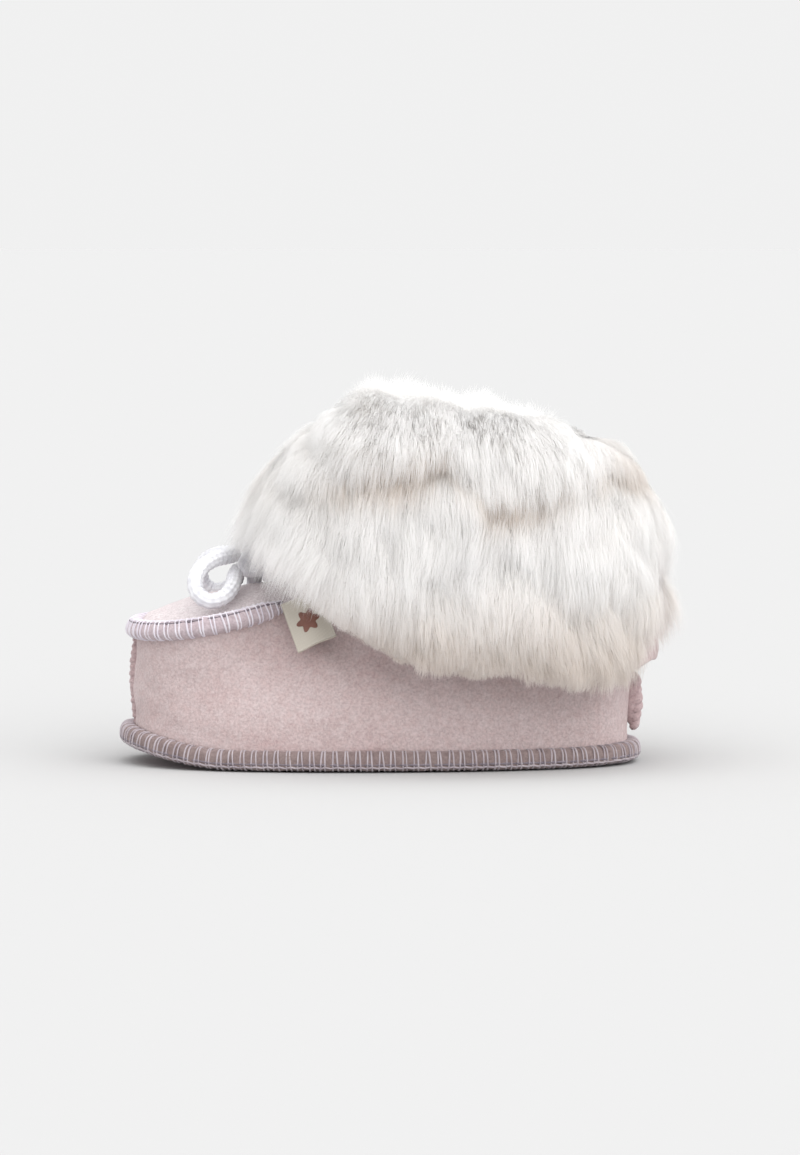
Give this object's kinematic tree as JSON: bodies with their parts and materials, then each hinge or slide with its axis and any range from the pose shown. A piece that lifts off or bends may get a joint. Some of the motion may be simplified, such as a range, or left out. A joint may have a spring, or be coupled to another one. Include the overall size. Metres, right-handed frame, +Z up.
{
  "type": "baby bootie",
  "caption": "Soft suede baby bootie with a moccasin apron, raised overlocked seams, wool lining, turned-down wool cuff, laced bow and side tag.",
  "frame": {"origin": "under the middle of the overall box, on the floor the sole rests on", "axes": "-X towards the toe, +X towards the heel, -Y towards the wearer's left side, +Z up"},
  "size_m": [0.1338, 0.084, 0.0901],
  "materials": {
    "upper_suede": "pale pink napped suede",
    "sole_suede": "darker mauve pink suede",
    "wool_pile": "long white wool pile",
    "overlock_thread": "pale lilac overlocking thread over the hide's edge",
    "lace_cord": "white satin braided cord",
    "tag_weave": "cream woven label tape"
  },
  "bodies": {
    "bootie": {"sole_hide": "sole_suede", "wall_hide_left": "upper_suede", "wall_hide_right": "upper_suede", "apron_hide": "upper_suede", "tongue_hide": "upper_suede", "cuff_hide_left": "upper_suede", "cuff_hide_right": "upper_suede", "insole_wool": "wool_pile", "wall_wool_left": "wool_pile", "wall_wool_right": "wool_pile", "apron_wool": "wool_pile", "tongue_wool": "wool_pile", "cuff_wool_left": "wool_pile", "cuff_wool_right": "wool_pile", "sole_welt": "overlock_thread", "toe_welt": "overlock_thread", "heel_welt": "overlock_thread", "apron_welt": "overlock_thread", "lace_around_ankle": "lace_cord", "lace_knot": "lace_cord"},
    "loop_left": {"bow_loop_left": "lace_cord"},
    "loop_right": {"bow_loop_right": "lace_cord"},
    "tail_front": {"lace_tail_front": "lace_cord", "tail_knot_front": "lace_cord"},
    "tail_back": {"lace_tail_back": "lace_cord", "tail_knot_back": "lace_cord"},
    "tag": {"side_tag": "tag_weave"}
  },
  "joints": [
    {"name": "loop_left_lift", "type": "hinge", "parent": "bootie", "child": "loop_left", "pos_m": [-0.03535, 0, 0.0474], "axis": [-1, 0, 0], "range_deg": [0, 16]},
    {"name": "loop_right_lift", "type": "hinge", "parent": "bootie", "child": "loop_right", "pos_m": [-0.03535, 0, 0.0474], "axis": [1, 0, 0], "range_deg": [0, 16]},
    {"name": "tail_front_lift", "type": "hinge", "parent": "bootie", "child": "tail_front", "pos_m": [-0.03535, 0.0042, 0.0466], "axis": [1, 0, 0], "range_deg": [0, 15]},
    {"name": "tail_back_lift", "type": "hinge", "parent": "bootie", "child": "tail_back", "pos_m": [-0.03195, 0.0056, 0.0445], "axis": [1, 0, 0], "range_deg": [0, 8]},
    {"name": "tag_lift", "type": "hinge", "parent": "bootie", "child": "tag", "pos_m": [-0.02329, -0.01942, 0.04098], "axis": [-0.9008, 0.131, -0.4139], "range_deg": [0, 25]}
  ]
}
